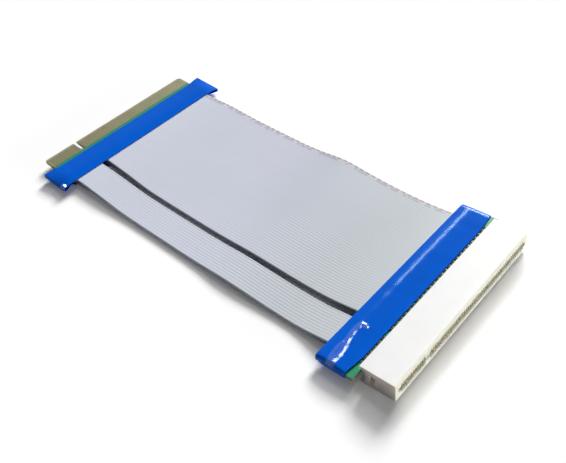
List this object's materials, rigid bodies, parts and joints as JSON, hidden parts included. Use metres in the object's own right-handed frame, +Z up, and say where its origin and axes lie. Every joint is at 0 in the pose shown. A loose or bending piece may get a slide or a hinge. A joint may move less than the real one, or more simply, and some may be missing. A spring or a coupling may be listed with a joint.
{
  "type": "flexible pci riser extender",
  "caption": "Card-edge plug and white card socket joined by flat grey ribbon cables, with blue film sleeves, to move an expansion card away from its slot.",
  "frame": {"origin": "on the ground, in the middle of the overall length and width", "axes": "+X from the plug to the socket, +Y across the ribbons towards the first way, +Z up"},
  "size_m": [0.188, 0.0926, 0.009],
  "materials": {
    "board": "satin solder mask",
    "fingers": "gold plated",
    "film": "glossy film",
    "ribbon": "satin",
    "solder": "bright solder",
    "housing": "satin",
    "contacts": "tin and gold plated"
  },
  "bodies": {
    "root": {"contacts_lower_inner": "contacts", "contacts_lower_outer": "contacts", "contacts_upper_inner": "contacts", "contacts_upper_outer": "contacts", "narrow_lower_plug_wires": "solder", "narrow_lower_socket_wires": "solder", "narrow_ribbon_lower": "ribbon", "narrow_ribbon_upper": "ribbon", "narrow_upper_plug_wires": "solder", "narrow_upper_socket_wires": "solder", "plug_board": "board", "plug_fingers_lower": "fingers", "plug_fingers_upper": "fingers", "plug_sleeve": "film", "socket_board": "board", "socket_housing": "housing", "socket_sleeve": "film", "wide_lower_plug_wires": "solder", "wide_lower_socket_wires": "solder", "wide_ribbon_lower": "ribbon", "wide_ribbon_upper": "ribbon", "wide_upper_plug_wires": "solder", "wide_upper_socket_wires": "solder"}
  },
  "joints": []
}
